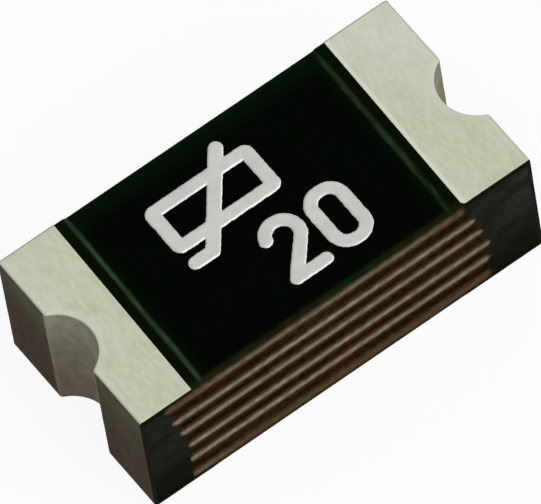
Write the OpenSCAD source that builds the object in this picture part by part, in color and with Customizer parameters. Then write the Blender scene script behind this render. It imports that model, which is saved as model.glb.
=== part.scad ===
// Surface-mount resettable fuse in the 3216 chip size.
// Three conductive polymer sheets lie between electrode foils and are bonded into one laminate.
// Two tin-finished copper wraps close the ends, run down a half-round notch in each end
// and join the three elements in parallel.
// The origin is at the bottom centre, with the length along X and the sawn sides facing Y.

/* [Chip] */
// Length over the two terminals
chip_l = 3.2; // [2.6:0.05:4.6]
// Width between the sawn sides
chip_w = 1.6; // [1.2:0.05:3.4]

/* [Laminate] */
// Thickness of each conductive polymer sheet
ptc_t = 0.128; // [0.06:0.002:0.25]
// Thickness of each electrode foil
foil_t = 0.065; // [0.03:0.005:0.1]
// Thickness of the resin sheet between one element and the next
bond_t = 0.109; // [0.05:0.001:0.25]
// Thickness of the resin over the outermost foils
cover_t = 0.014; // [0.01:0.002:0.08]

/* [Electrode foils] */
// Distance along a sawn side from the chip's end to the foils
foil_margin = 0.355; // [0.28:0.005:0.5]
// Place of the top foil along the chip, away from the middle
foil_offset = -0.165; // [-0.17:0.005:0.17]
// Distance that each foil is laid further along than the one above it
foil_drift = 0.045; // [0:0.005:0.06]
// Number of foils below the top one that drift so, while the rest stay in line
drift_foils = 3; // [0:1:5]
// Width of the neck that carries a foil to its terminal
neck_w = 0.9; // [0.4:0.05:1.1]
// Clear space between a foil and the notch that it must not touch
isolation = 0.1; // [0.06:0.01:0.2]

/* [Terminals] */
// Length of the exposed pads
pad_l = 0.49; // [0.35:0.01:0.7]
// Distance that the pads' inner edges are printed off centre along the chip
print_offset = -0.05; // [-0.08:0.01:0.08]
// Angle in degrees by which the pads, the mask and the notches lie turned on the chip, as it was sawn
print_turn = 1.2; // [-2:0.1:2]
// Thickness of the tin finish
tin_t = 0.012; // [0.008:0.001:0.02]
// Thickness of the copper under the tin
copper_t = 0.018; // [0.012:0.001:0.03]
// Length of copper that runs on under the solder mask
lip_l = 0.07; // [0.05:0.01:0.2]
// Radius of the plated half-round notch in each end
notch_r = 0.295; // [0.2:0.005:0.4]
// Depth of the notch from the end face
notch_depth = 0.18; // [0.1:0.005:0.2]
// Distance that the row of notches lies off the middle of the chip's width
notch_offset = -0.035; // [-0.1:0.005:0.1]
// Outer radius of the bend where a pad turns into the end face, at most the plating's thickness
bend_r = 0.03; // [0.012:0.001:0.03]

/* [Solder mask] */
// Thickness of the mask on the flat of the chip
mask_t = 0.015; // [0.01:0.001:0.03]
// Distance that the mask over the copper lip stays below the tin
mask_drop = 0.002; // [0.001:0.001:0.006]
// Length of the slope where the mask steps down off the copper lip
mask_ramp = 0.02; // [0.01:0.005:0.05]

/* [Hidden] */
$fn = 96;
// Length by which a cutting solid passes the face that it cuts
cut_over = 0.1;

// Thickness of copper and tin together
plate_t = tin_t + copper_t;
// One element is a polymer sheet with a foil on each face, and the chip has three
ELEMENTS = 3;
element_t = ptc_t + 2 * foil_t;
element_pitch = element_t + bond_t;
chip_h = 2 * (plate_t + cover_t) + ELEMENTS * element_t + (ELEMENTS - 1) * bond_t;

// The laminate that the terminals wrap
core_l = chip_l - 2 * plate_t;
drill_r = notch_r + plate_t;
notch_x = chip_l / 2 + notch_r - notch_depth;
foil_l = chip_l - 2 * foil_margin;

// Pads and mask, as seen from above
left_pad_l = pad_l + print_offset;
right_pad_l = pad_l - print_offset;
lip_top = chip_h - tin_t;
core_top = chip_h - plate_t;
mask_top = core_top + mask_t;
mask_lip_top = chip_h - mask_drop;

// The terminal that each foil reaches, from the top foil down: -1 is the left one, 1 the right one.
// Foils that face each other through a bond sheet share a terminal.
FOIL_SIDE = [-1, 1, 1, -1, -1, 1];

TIN = [0.73, 0.74, 0.66];
COPPER = [0.62, 0.36, 0.22];
MASK = [0.02, 0.05, 0.03];
RESIN = [0.13, 0.13, 0.09];
POLYMER = [0.16, 0.11, 0.06];
FOIL = [0.47, 0.42, 0.36];

// Foils are counted from 0 at the top, and elements from 0 at the top
function element_z(element) = plate_t + cover_t + (ELEMENTS - 1 - element) * element_pitch;
function ptc_z(element) = element_z(element) + foil_t;
function foil_z(foil) = element_z(floor(foil / 2)) + (foil % 2 == 0 ? foil_t + ptc_t : 0);
function foil_x(foil) = foil_offset + foil_drift * min(foil, drift_foils);
// Middle of a notch across the chip, at the left end (-1) or the right end (1)
function notch_y(side) = notch_offset - side * notch_x * sin(print_turn);

// A flat layer of the laminate
module layer(z, t) {
    translate([0, 0, z])
        linear_extrude(t)
            children();
}

// The round cut that a notch makes in a flat outline, at the left end (-1) or the right end (1)
module notch_cut(side, r) {
    translate([side * notch_x, notch_y(side)])
        circle(r);
}

// The laminate's outline, drilled through at both ends
module core_outline() {
    difference() {
        square([core_l, chip_w], center = true);
        notch_cut(-1, drill_r);
        notch_cut(1, drill_r);
    }
}

// A foil fills the chip's width, reaches its own terminal by a neck and keeps clear of the other notch
module foil_outline(foil) {
    side = FOIL_SIDE[foil];
    difference() {
        union() {
            translate([foil_x(foil), 0])
                square([foil_l, chip_w], center = true);
            translate([side * core_l / 4, notch_y(side)])
                square([core_l / 2, neck_w], center = true);
        }
        notch_cut(side, drill_r);
        notch_cut(-side, drill_r + isolation);
    }
}

module foil(index) {
    color(FOIL)
        layer(foil_z(index), foil_t)
            foil_outline(index);
}

module ptc_sheet(element) {
    color(POLYMER)
        layer(ptc_z(element), ptc_t)
            core_outline();
}

// The resin that flows round a foil where its sheet has been etched away
module resin_round_foil(index) {
    layer(foil_z(index), foil_t)
        difference() {
            core_outline();
            foil_outline(index);
        }
}

// A bond sheet joins the lower foil of one element to the upper foil of the next
module bond_sheet(foil_above) {
    foil_below = foil_above + 1;
    color(RESIN)
        union() {
            resin_round_foil(foil_above);
            layer(foil_z(foil_above) - bond_t, bond_t)
                core_outline();
            resin_round_foil(foil_below);
        }
}

module cover_sheet(foil, z) {
    color(RESIN)
        union() {
            resin_round_foil(foil);
            layer(z, cover_t)
                core_outline();
        }
}

// The left end of the chip seen from the side, with its outline moved in by depth.
// The two bends share their centres in every layer, so they get sharper further in.
module end_profile(depth, reach) {
    r = max(min(bend_r, plate_t) - depth, 0);
    top = chip_h - depth;
    end = depth - chip_l / 2;
    translate([end + r, depth])
        square([reach - depth - r, top - depth]);
    if (r > 0) {
        translate([end, depth + r])
            square([2 * r, top - depth - 2 * r]);
        for (z = [depth + r, top - r])
            translate([end + r, z])
                circle(r);
    }
}

// The left end of the chip with its surface moved in by depth, as far along as reach.
// The right end is a mirror image but for its notch, so side says which end it becomes.
module end_block(side, depth, reach, over) {
    difference() {
        rotate([90, 0, 0])
            linear_extrude(chip_w + 2 * over, center = true)
                end_profile(depth, reach + over);
        translate([-notch_x, notch_y(side), -cut_over])
            cylinder(r = notch_r + depth, h = chip_h + 2 * cut_over);
    }
}

// Everything on the outer side of a pad's inner edge, which crosses the chip at a slant
module pad_limit(side, reach) {
    rotate([0, 0, side * print_turn])
        translate([-chip_l, -chip_w, -cut_over])
            cube([chip_l / 2 + reach, 2 * chip_w, chip_h + 2 * cut_over]);
}

// One metal layer of the left terminal, from outer to inner below the surface:
// a pad above, a pad below and the notched end wall between them
module end_wrap(side, outer, inner, reach) {
    difference() {
        intersection() {
            end_block(side, outer, reach + cut_over, 0);
            pad_limit(side, reach);
        }
        end_block(side, inner, reach + cut_over, cut_over);
    }
}

// The mask's profile along the chip: it laps over both copper lips and steps down between them
module mask_profile() {
    left = left_pad_l - chip_l / 2;
    right = chip_l / 2 - right_pad_l;
    polygon([
        [left, lip_top],
        [left + lip_l, lip_top],
        [left + lip_l, core_top],
        [right - lip_l, core_top],
        [right - lip_l, lip_top],
        [right, lip_top],
        [right, mask_lip_top],
        [right - lip_l, mask_lip_top],
        [right - lip_l - mask_ramp, mask_top],
        [left + lip_l + mask_ramp, mask_top],
        [left + lip_l, mask_lip_top],
        [left, mask_lip_top]
    ]);
}

module top_solder_mask() {
    color(MASK)
        intersection() {
            rotate([0, 0, -print_turn])
                rotate([90, 0, 0])
                    linear_extrude(chip_w + 2 * cut_over, center = true)
                        mask_profile();
            translate([-chip_l / 2, -chip_w / 2, 0])
                cube([chip_l, chip_w, chip_h]);
        }
}

module bottom_solder_mask() {
    translate([0, 0, chip_h])
        mirror([0, 0, 1])
            top_solder_mask();
}

module left_tin_finish() {
    color(TIN)
        end_wrap(-1, 0, tin_t, left_pad_l);
}

module left_copper_wrap() {
    color(COPPER)
        end_wrap(-1, tin_t, plate_t, left_pad_l + lip_l);
}

module right_tin_finish() {
    color(TIN)
        mirror([1, 0, 0])
            end_wrap(1, 0, tin_t, right_pad_l);
}

module right_copper_wrap() {
    color(COPPER)
        mirror([1, 0, 0])
            end_wrap(1, tin_t, plate_t, right_pad_l + lip_l);
}

module top_cover_sheet() {
    cover_sheet(0, core_top - cover_t);
}

module bottom_cover_sheet() {
    cover_sheet(5, plate_t);
}

module upper_bond_sheet() {
    bond_sheet(1);
}

module lower_bond_sheet() {
    bond_sheet(3);
}

module upper_ptc_sheet() {
    ptc_sheet(0);
}

module middle_ptc_sheet() {
    ptc_sheet(1);
}

module lower_ptc_sheet() {
    ptc_sheet(2);
}

module upper_ptc_top_foil() {
    foil(0);
}

module upper_ptc_bottom_foil() {
    foil(1);
}

module middle_ptc_top_foil() {
    foil(2);
}

module middle_ptc_bottom_foil() {
    foil(3);
}

module lower_ptc_top_foil() {
    foil(4);
}

module lower_ptc_bottom_foil() {
    foil(5);
}

top_solder_mask();
bottom_solder_mask();
left_tin_finish();
left_copper_wrap();
right_tin_finish();
right_copper_wrap();
top_cover_sheet();
bottom_cover_sheet();
upper_bond_sheet();
lower_bond_sheet();
upper_ptc_sheet();
middle_ptc_sheet();
lower_ptc_sheet();
upper_ptc_top_foil();
upper_ptc_bottom_foil();
middle_ptc_top_foil();
middle_ptc_bottom_foil();
lower_ptc_top_foil();
lower_ptc_bottom_foil();
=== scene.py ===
"""Looks of a surface-mount resettable fuse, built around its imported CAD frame.

The file is laid out as an add-on: sizes and colours are properties, each group of pieces has an
operator, and a sidebar panel lists the operators. Run as a script, it registers itself, builds
every piece and the stage, and leaves the scene ready to render.

Shapes are worked out in millimetres on working objects and baked into meshes in metres.
"""

import math

import bmesh
import bpy
from bpy.props import FloatProperty, FloatVectorProperty, IntProperty, PointerProperty
from mathutils import Matrix, Vector


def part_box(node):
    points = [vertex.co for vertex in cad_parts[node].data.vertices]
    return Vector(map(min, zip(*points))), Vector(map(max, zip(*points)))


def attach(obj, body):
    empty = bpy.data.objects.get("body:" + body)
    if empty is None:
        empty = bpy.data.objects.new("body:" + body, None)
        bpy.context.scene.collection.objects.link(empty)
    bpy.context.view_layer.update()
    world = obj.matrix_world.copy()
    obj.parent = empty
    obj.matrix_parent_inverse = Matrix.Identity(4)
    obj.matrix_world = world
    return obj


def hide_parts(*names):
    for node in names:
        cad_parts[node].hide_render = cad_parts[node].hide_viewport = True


bl_info = {
    "name": "Resettable fuse",
    "version": (1, 0, 0),
    "blender": (4, 5, 0),
    "location": "View3D > Sidebar > Fuse",
    "description": "Builds the looks of a laminated chip fuse around its CAD frame",
    "category": "Object",
}

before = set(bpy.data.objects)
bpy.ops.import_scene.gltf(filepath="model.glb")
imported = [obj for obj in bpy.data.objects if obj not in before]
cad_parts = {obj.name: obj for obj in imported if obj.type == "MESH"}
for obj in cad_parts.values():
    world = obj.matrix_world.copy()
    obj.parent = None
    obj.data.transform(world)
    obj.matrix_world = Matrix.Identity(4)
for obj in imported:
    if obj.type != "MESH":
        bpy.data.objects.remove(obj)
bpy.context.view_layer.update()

MM = 0.001
TO_METRES = Matrix.Scale(MM, 4)
WHITE = (1.0, 1.0, 1.0, 1.0)


# Sizes read from the frame, in millimetres

def box_mm(node):
    """Lowest and highest corner of a CAD node in millimetres."""
    low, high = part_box(node)
    return low / MM, high / MM


LEFT_TIN = box_mm("left_tin_finish")
RIGHT_TIN = box_mm("right_tin_finish")
LEFT_COPPER = box_mm("left_copper_wrap")
RIGHT_COPPER = box_mm("right_copper_wrap")
TOP_MASK = box_mm("top_solder_mask")
CORE = box_mm("middle_ptc_sheet")

FOIL_NODES = (
    "upper_ptc_top_foil",
    "upper_ptc_bottom_foil",
    "middle_ptc_top_foil",
    "middle_ptc_bottom_foil",
    "lower_ptc_top_foil",
    "lower_ptc_bottom_foil",
)
FOILS = {node: box_mm(node) for node in FOIL_NODES}

CHIP_TOP = LEFT_TIN[1].z
CHIP_END = RIGHT_TIN[1].x
CHIP_SIDE = LEFT_TIN[1].y
TIN_T = CHIP_TOP - LEFT_COPPER[1].z
PLATE_T = CORE[0].x - LEFT_TIN[0].x
CORE_TOP = TOP_MASK[0].z
LIP_TOP = LEFT_COPPER[1].z

# Pads, mask and notches lie a little turned on the chip: their edges move on by LEAN from the middle
# of the chip to its back side. The edges are given where they cross the middle.
LEAN = 0.5 * (LEFT_TIN[1].x - TOP_MASK[0].x)
SLANT = LEAN / CHIP_SIDE
MASK_LEFT = LEFT_TIN[1].x - LEAN
MASK_RIGHT = RIGHT_TIN[0].x + LEAN
LIP_LEFT = LEFT_COPPER[1].x - LEAN
LIP_RIGHT = RIGHT_COPPER[0].x + LEAN


# Properties that a user would change

def length(name, description, millimetres):
    """A length property, written in millimetres and held in metres."""
    return FloatProperty(
        name=name,
        description=description,
        default=millimetres * MM,
        precision=6,
        unit="LENGTH",
    )


def share(name, description, default):
    """A property between 0 and 1."""
    return FloatProperty(
        name=name,
        description=description,
        default=default,
        min=0,
        max=1,
        subtype="FACTOR",
    )


def tint(name, description, red, green, blue):
    """A colour property, written in the 0 to 255 steps of a display."""
    return FloatVectorProperty(
        name=name,
        description=description,
        default=(red / 255, green / 255, blue / 255),
        size=3,
        min=0,
        max=1,
        subtype="COLOR_GAMMA",
    )


class TerminalSettings(bpy.types.PropertyGroup):
    """Sizes and colours of the tin-finished terminals."""

    notch_radius: length("Notch radius", "Radius of the half-round notch in each end", 0.295)
    notch_depth: length("Notch depth", "Depth of the notch from the end face", 0.18)
    notch_offset: length("Notch offset", "How far the row of notches lies off the middle", -0.035)
    left_corner: length("Left corner", "Radius of the corner between the left notch and its end", 0.032)
    right_corner: length("Right corner", "Radius of the corner between the right notch and its end", 0.035)
    bend: length("Bend", "Radius of the bend from a pad into the end face", 0.03)
    rim: length("Notch rim", "Radius of the bend from a pad into the notch", 0.014)
    edge: length("Edge", "Radius of the sawn edges and of the pads' inner edges", 0.003)
    relief: length("Relief", "Height of the plating's unevenness", 0.0012)
    pad_light: tint("Pad, light", "Lighter tone of the matt tin on the pads", 194, 199, 178)
    pad_dark: tint("Pad, dark", "Darker tone of the streaks in the tin", 182, 187, 164)
    # Pad, grey is the tin's greyer clouds and also the painted highlight along the pads' outer edges.
    pad_grey_and_highlight: tint("Pad, grey", "Greyer clouds in the tin and its burnished outer edges", 201, 201, 188)
    # Pad rim is a painted highlight along the pads' inner edges.
    pad_rim_highlight: tint("Pad rim", "Burnished inner edges of the pads", 207, 211, 194)
    # Colour of a darker line along the pads' back edges.
    burr: tint("Burr", "Dull burr along the back edges of the pads", 126, 126, 112)
    # Painted shade: these end and notch colours are the tin painted darker, for shade and a dark
    # reflection, on a duller finish. The foot colours are darker still, as painted shade, and redder. The
    # notch walls are painted lighter than the end faces, where they face the light.
    shaded_end_face: tint("End face", "Dull plating at the top of the end faces", 79, 76, 60)
    shaded_end_foot: tint("End foot", "Darker, redder plating lower on the end faces", 64, 55, 44)
    shaded_notch_wall: tint("Notch wall", "Dull plating at the top of the notches", 139, 138, 121)
    shaded_notch_foot: tint("Notch foot", "Darker, redder plating lower in the notches", 118, 109, 98)
    # Painted shade: the sawn plating is painted as dark as the resin beside it, for shade and a dark
    # reflection.
    cut: tint("Cut", "Plating where the saw cut through it, down the ends", 27, 28, 20)
    # Painted shadow: the darker line under the pads.
    cut_shadow: tint("Cut, dark", "Plating where the saw cut through it, under the pads", 9, 13, 3)
    bleed: length("Bleed", "Radius of the mask that bled over the right pad's front corner", 0.035)
    bled: tint("Bled mask", "Thin mask on that corner", 22, 26, 12)


class MaskSettings(bpy.types.PropertyGroup):
    """Sizes and colours of the solder mask."""

    thickness: length("Thickness", "Thickness of the mask on the flat of the chip", 0.015)
    ramp: length("Ramp", "Length of the slope down off the copper lip", 0.03)
    droop: length("Droop", "How far the mask falls at the sawn sides", 0.008)
    low_thickness: length("Low thickness", "Thickness of the levelled mask on the underside", 0.025)
    low_droop: length("Low droop", "How far the mask draws up at the sides of the underside", 0.001)
    droop_width: length("Droop width", "Width of the fall at the sawn sides", 0.04)
    waviness: length("Waviness", "Height of the slow waves in the mask", 0.0008)
    body: tint("Mask", "Colour of the mask on the flat", 2, 6, 1)
    # Painted highlight: the pale green line along each step, where the mask thins over it.
    shoulder: tint("Shoulder", "Paler green where the mask thins on its step", 50, 66, 48)
    band: tint("Band", "Mask on the copper, between a pad and the step", 8, 14, 1)
    shade: tint("Shade", "Green tint on the flat beside a step", 3, 15, 1)
    # Painted highlight: the pale band where the mask droops over the sawn sides, strong at the front, with
    # greener patches.
    edge: tint("Edge", "Thin mask along the sawn sides", 29, 32, 16)
    green_edge_highlight: tint("Green edge", "Greener patches of the same", 9, 40, 20)
    haze: tint("Haze", "Soft green of the mask towards the back side", 7, 18, 8)
    low_edge: tint("Low edge", "Sawn edge of the mask on the underside, smeared with metal", 50, 39, 25)


class LaminateSettings(bpy.types.PropertyGroup):
    """Sizes and colours of the foils and sheets that the sawn sides show."""

    foil_length: length("Foil length", "Length of a foil along a sawn side", 2.49)
    neck: length("Neck", "Width of the neck that carries a foil to its terminal", 0.9)
    proud: length("Proud", "How far a sawn foil edge stands out", 0.004)
    burr: length("Burr", "Height of the unevenness along a sawn foil edge", 0.0015)
    drift: length("Foil drift", "How much further along the second to fourth foil are each laid", 0.045)
    pull_back: length("Pull-back", "How far the two lowest foils' bright edges lie to the left", 0.022)
    foil: tint("Foil", "Sawn edge of an inner foil, paler stretches", 130, 119, 102)
    foil_warm: tint("Foil, warm", "Sawn edge of an inner foil, browner stretches", 125, 110, 93)
    top_foil: tint("Top foil", "Sawn edge of the uppermost foil", 102, 93, 76)
    top_foil_end: tint("Top foil end", "Redder edge of the uppermost foil towards its ends", 94, 67, 53)
    low_foil: tint("Low foil", "Sawn edge of the lowest foil", 78, 61, 40)
    low_foil_end: tint("Low foil end", "Paler edge of the lowest foil towards its left end", 98, 85, 70)
    smear: tint("Smear", "Metal smeared on the layers beside a foil", 66, 51, 33)
    dark: tint("Dark", "Polymer and resin half way between two foils", 31, 20, 4)
    dark_red: tint("Dark red", "Redder patches of the same", 48, 20, 10)
    dark_green: tint("Dark green", "Greener patches of the same", 38, 31, 11)
    resin: tint("Resin", "Sawn resin and polymer beyond the foils", 33, 35, 27)
    pale_resin: tint("Pale resin", "Paler resin high up at the right end", 43, 44, 38)
    foot: tint("Foot", "Darker resin low on the sawn sides", 20, 20, 14)
    # Painted shadow: the dark line under the pads, on the sawn sides.
    under_pad_shadow: tint("Under pad", "Dark line of plating and resin under the pads", 9, 14, 2)
    copper: tint("Copper", "Copper where it is bare", 158, 92, 56)


class PrintSettings(bpy.types.PropertyGroup):
    """Sizes and colours of the print."""

    film: length("Film", "Thickness of the printed ink", 0.011)
    shoulder: length("Shoulder", "Width of the rounded edge of the ink", 0.022)
    cell: length("Cell", "Size of the squares that the film is made of", 0.006)
    ragged: length("Ragged", "How far the edge of the print wanders", 0.011)
    symbol_stroke: length("Symbol stroke", "Width of the lines of the symbol", 0.105)
    digit_stroke: length("Digit stroke", "Width of the lines of the digits", 0.1)
    seed: IntProperty(name="Seed", description="Seed of the print's ragged edge", default=5)
    ink: tint("Ink", "White ink", 203, 207, 199)
    # Painted highlight and painted shade on the ink's edges, by the way each edge faces.
    painted_highlight_edge: tint("Bright edge", "Glossy edges of the ink that face the front", 254, 254, 252)
    painted_shade_edge: tint("Dull edge", "Edges of the ink that face the back", 176, 180, 170)


class StageSettings(bpy.types.PropertyGroup):
    """Light and floor."""

    fill: share("Fill", "Level of the light from all round", 0.45)
    key: share("Key", "Level of the softbox in front, on a face turned to it", 0.45)
    overhead: share("Overhead", "Level of the softbox above", 0.2)
    lift: share("Lift", "How much of the floor's own shade the camera doesn't see", 0.9)
    floor: tint("Floor", "Plain pale floor", 252, 252, 252)


# Node trees

def linear(display):
    """A display colour as a scene-linear colour with full alpha."""
    parts = [v / 12.92 if v <= 0.04045 else ((v + 0.055) / 1.055) ** 2.4 for v in display]
    return (*parts, 1.0)


class Wire:
    """A socket that takes part in arithmetic: each operation adds a Math node to its tree."""

    def __init__(self, tree, socket):
        self.tree = tree
        self.socket = socket

    def also(self, output):
        """Another output of the same node."""
        return Wire(self.tree, self.socket.node.outputs[output])

    def maths(self, operation, *values):
        return self.tree.add("ShaderNodeMath", {"operation": operation}, dict(enumerate(values)))

    def __add__(self, other):
        return self.maths("ADD", self, other)

    def __radd__(self, other):
        return self.maths("ADD", other, self)

    def __sub__(self, other):
        return self.maths("SUBTRACT", self, other)

    def __rsub__(self, other):
        return self.maths("SUBTRACT", other, self)

    def __mul__(self, other):
        return self.maths("MULTIPLY", self, other)

    def __rmul__(self, other):
        return self.maths("MULTIPLY", other, self)

    def __truediv__(self, other):
        return self.maths("DIVIDE", self, other)

    def __pow__(self, other):
        return self.maths("POWER", self, other)

    def __abs__(self):
        return self.maths("ABSOLUTE", self)

    def least(self, other):
        return self.maths("MINIMUM", self, other)

    def most(self, other):
        return self.maths("MAXIMUM", self, other)

    def over(self, other):
        return self.maths("GREATER_THAN", self, other)

    def rise(self, low, high):
        """0 below low, 1 above high and smooth between them; high may be under low."""
        return self.tree.add(
            "ShaderNodeMapRange",
            {"interpolation_type": "SMOOTHSTEP"},
            {"Value": self, "From Min": low, "From Max": high},
        )

    def mix(self, first, second):
        """The first colour where this is 0, the second where it is 1; each a wire or a tint."""
        first, second = (each if isinstance(each, Wire) else linear(each) for each in (first, second))
        return self.tree.add("ShaderNodeMix", {"data_type": "RGBA"}, {0: self, 6: first, 7: second}, 2)

    def shaded(self, tone, strength):
        """This colour made darker and lighter by a noise from 0 to 1."""
        return self.tree.vector("SCALE", self, scale=(tone - 0.5) * strength + 1.0)


class Tree:
    """A node tree that is filled by one method."""

    def __init__(self, node_tree):
        self.nodes = node_tree.nodes
        self.links = node_tree.links

    def add(self, kind, settings=None, inputs=None, output=0):
        """Adds a node, sets its settings, then its sockets' values or links, and gives one output.

        A list of wires is linked to one socket in turn.
        """
        node = self.nodes.new(kind)
        for name, value in (settings or {}).items():
            setattr(node, name, value)
        for key, value in (inputs or {}).items():
            for source in value if isinstance(value, list) else [value]:
                if isinstance(source, Wire):
                    self.links.new(source.socket, node.inputs[key])
                else:
                    node.inputs[key].default_value = source
        return Wire(self, node.outputs[output]) if len(node.outputs) else None

    def split(self, vector):
        """The X, Y and Z of a vector."""
        x = self.add("ShaderNodeSeparateXYZ", inputs={0: vector})
        return x, x.also(1), x.also(2)

    def join(self, x, y, z):
        """A vector from its X, Y and Z."""
        return self.add("ShaderNodeCombineXYZ", inputs={0: x, 1: y, 2: z})

    def vector(self, operation, *values, scale=None):
        """One step of vector arithmetic."""
        inputs = dict(enumerate(values))
        if scale is not None:
            inputs["Scale"] = scale
        output = "Value" if operation in {"LENGTH", "DISTANCE", "DOT_PRODUCT"} else 0
        return self.add("ShaderNodeVectorMath", {"operation": operation}, inputs, output)


def emptied(owner):
    """The node tree of a material or a world, with nothing in it."""
    owner.use_nodes = True
    owner.node_tree.nodes.clear()
    return owner.node_tree


class Finish(Tree):
    """The shader of one finish. Its place is the Object coordinate in millimetres."""

    def __init__(self, name):
        self.material = bpy.data.materials.new(name)
        super().__init__(emptied(self.material))
        coordinate = self.add("ShaderNodeTexCoord", output="Object")
        self.place = self.vector("SCALE", coordinate, scale=1 / MM)
        self.x, self.y, self.z = self.split(self.place)
        self.along = self.x - self.y * SLANT

    def grain(self, scale, detail=3.0, stretch=(1.0, 1.0, 1.0), shift=0.0, turn=0.0):
        """Noise from 0 to 1 with about scale features a millimetre.

        It is drawn out by stretch, turned about Z and moved by shift, so that no two are alike.
        """
        place = self.add(
            "ShaderNodeMapping",
            {"vector_type": "TEXTURE"},
            {
                "Vector": self.place,
                "Location": (shift, shift, shift),
                "Rotation": (0.0, 0.0, turn),
                "Scale": stretch,
            },
        )
        return self.add("ShaderNodeTexNoise", None, {"Vector": place, "Scale": scale, "Detail": detail})

    def bump(self, height, millimetres):
        """A normal for a relief of that height."""
        return self.add("ShaderNodeBump", None, {"Height": height, "Distance": millimetres * MM})

    def close(self, **sockets):
        """Ends the shader in a Principled node; a socket's name has _ for each space."""
        inputs = {name.replace("_", " "): value for name, value in sockets.items()}
        surface = self.add("ShaderNodeBsdfPrincipled", None, inputs)
        self.add("ShaderNodeOutputMaterial", None, {"Surface": surface})
        return self.material


SEED_STEP = (3.7, 1.3, 2.1)


class Recipe(Tree):
    """A geometry node group with named inputs: its sizes, a seed and a material."""

    def __init__(self, name, *sizes):
        self.group = bpy.data.node_groups.new(name, "GeometryNodeTree")
        super().__init__(self.group)
        kinds = {"Geometry": "Geometry"}
        kinds.update(dict.fromkeys(sizes, "Float"), Seed="Int", Material="Material")
        for label, kind in kinds.items():
            self.group.interface.new_socket(label, in_out="INPUT", socket_type="NodeSocket" + kind)
        self.group.interface.new_socket("Geometry", in_out="OUTPUT", socket_type="NodeSocketGeometry")
        self.entry = self.add("NodeGroupInput")

    def given(self, label):
        """The value of a named input."""
        return self.entry.also(label)

    def place(self):
        """Where each point is when the place is read."""
        return self.add("GeometryNodeInputPosition")

    def outer(self):
        """The attribute that is 1 on the outside of a shell."""
        return self.add("GeometryNodeInputNamedAttribute", {"data_type": "FLOAT"}, {"Name": "outer"})

    def grain(self, place, scale, seed, detail=2.0):
        """Noise from -1 to 1 with about scale features a millimetre."""
        moved = self.vector("ADD", place, self.join(*(seed * step for step in SEED_STEP)))
        value = self.add("ShaderNodeTexNoise", None, {"Vector": moved, "Scale": scale, "Detail": detail})
        return value * 2.0 - 1.0

    def move(self, geometry, offset, selection=True):
        """Moves the selected points by an offset."""
        return self.add(
            "GeometryNodeSetPosition",
            None,
            {"Geometry": geometry, "Offset": offset, "Selection": selection},
        )

    def close(self, geometry):
        """Ends the group in Realize Instances and Set Material."""
        real = self.add("GeometryNodeRealizeInstances", None, {"Geometry": geometry})
        painted = self.add(
            "GeometryNodeSetMaterial", None, {"Geometry": real, "Material": self.given("Material")}
        )
        self.add("NodeGroupOutput", None, {"Geometry": painted})
        return self.group


# Meshes

BEVEL_SEGMENTS = 2
BEVEL_FROM = math.radians(60)
SHARP_FROM = math.radians(35)


def link_object(name, data):
    """A new object in the scene."""
    obj = bpy.data.objects.new(name, data)
    bpy.context.scene.collection.objects.link(obj)
    return obj


def new_object(name, points, edges, faces):
    """A working object in millimetres."""
    mesh = bpy.data.meshes.new(name)
    mesh.from_pydata(points, edges, faces)
    return link_object(name, mesh)


def new_shell(name, points, faces, flags):
    """A closed working object whose faces point outwards, with flags in its attribute outer."""
    obj = new_object(name, points, [], faces)
    work = bmesh.new()
    work.from_mesh(obj.data)
    bmesh.ops.recalc_face_normals(work, faces=work.faces)
    work.to_mesh(obj.data)
    work.free()
    obj.data.attributes.new("outer", "FLOAT", "POINT").data.foreach_set("value", flags)
    return obj


def closed_shell(name, outer, inner):
    """A closed wall between two grids of points. Its attribute outer is 1 on the first grid."""
    rows = len(outer)
    columns = len(outer[0])
    size = rows * columns
    points = [point for grid in (outer, inner) for row in grid for point in row]
    faces = []
    for row in range(rows - 1):
        for column in range(columns - 1):
            corner = row * columns + column
            quad = (corner, corner + 1, corner + columns + 1, corner + columns)
            faces.append(quad)
            faces.append(tuple(size + index for index in reversed(quad)))
    rim = list(range(columns))
    rim += [row * columns + columns - 1 for row in range(1, rows)]
    rim += [(rows - 1) * columns + column for column in range(columns - 2, -1, -1)]
    rim += [row * columns for row in range(rows - 2, 0, -1)]
    for index, first in enumerate(rim):
        second = rim[(index + 1) % len(rim)]
        faces.append((first, second, size + second, size + first))
    return new_shell(name, points, faces, [1.0] * size + [0.0] * size)


def apply_recipe(obj, group, **values):
    """Adds a geometry node group to an object, with its inputs set by their identifiers."""
    modifier = obj.modifiers.new(group.name, "NODES")
    modifier.node_group = group
    for item in group.interface.items_tree:
        if item.item_type == "SOCKET" and item.in_out == "INPUT" and item.name in values:
            modifier[item.identifier] = values[item.name]


def add_bevel(obj, width):
    """Rounds the sharp edges of a working object."""
    bevel = obj.modifiers.new("Bevel", "BEVEL")
    bevel.width = width
    bevel.segments = BEVEL_SEGMENTS
    bevel.limit_method = "ANGLE"
    bevel.angle_limit = BEVEL_FROM


def bake_piece(obj, slot, *nodes):
    """Turns a working object into a finished piece in metres that rides on the chip."""
    depsgraph = bpy.context.evaluated_depsgraph_get()
    mesh = bpy.data.meshes.new_from_object(obj.evaluated_get(depsgraph))
    if not mesh.polygons:
        raise RuntimeError(f"{obj.name} came out empty")
    mesh.transform(TO_METRES)
    mesh.shade_smooth()
    mesh.set_sharp_from_angle(angle=SHARP_FROM)
    working = obj.data
    obj.modifiers.clear()
    obj.data = mesh
    bpy.data.meshes.remove(working)
    mesh.name = obj.name
    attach(obj, "root")
    if nodes:
        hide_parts(*nodes)


def paint_node(node, material):
    """Gives a CAD node that stays in view its finish."""
    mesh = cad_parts[node].data
    mesh.materials.clear()
    mesh.materials.append(material)


def spread(start, stop, steps):
    """Evenly spaced values from start to stop, both included."""
    return [start + (stop - start) * step / steps for step in range(steps + 1)]


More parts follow.
